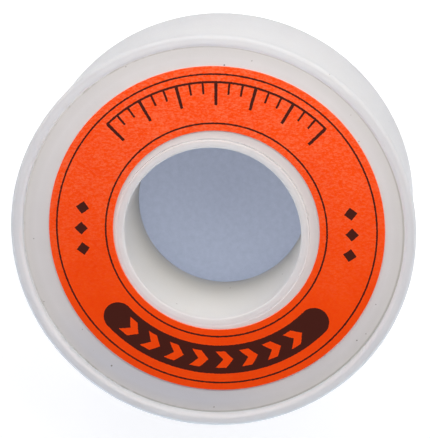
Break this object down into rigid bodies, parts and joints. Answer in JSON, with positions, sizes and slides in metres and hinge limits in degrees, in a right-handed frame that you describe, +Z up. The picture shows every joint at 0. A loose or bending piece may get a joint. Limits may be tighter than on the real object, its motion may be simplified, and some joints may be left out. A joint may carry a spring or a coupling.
{
  "type": "thread seal tape roll",
  "caption": "Roll of thread seal tape: tape wound on a flanged spool that turns in, and pulls out of, a round moulded shell with a through bore; printed ring label on the flange.",
  "frame": {"origin": "middle of the foot ring that the shell lies on", "axes": "+Z up along the bore, towards the label; +Y towards the top of the label as read; +X to its right"},
  "size_m": [0.0508, 0.0508, 0.0177],
  "materials": {
    "shell_plastic": "natural translucent moulding, satin",
    "seal_tape": "soft white film, dull and waxy",
    "spool_plastic": "natural translucent moulding, satin",
    "label_paper": "printed paper, slightly mottled"
  },
  "bodies": {
    "shell": {"shell": "shell_plastic"},
    "tape": {"tape_roll": "seal_tape"},
    "spool": {"spool": "spool_plastic", "label": "label_paper"}
  },
  "joints": [
    {"name": "spool_pull_out", "type": "slide", "parent": "shell", "child": "tape", "axis": [0, 0, 1], "range_m": [0, 0.024]},
    {"name": "spool_turn", "type": "hinge", "parent": "tape", "child": "spool", "pos_m": [0, 0, 0.00925], "axis": [0, 0, 1], "continuous": true}
  ]
}
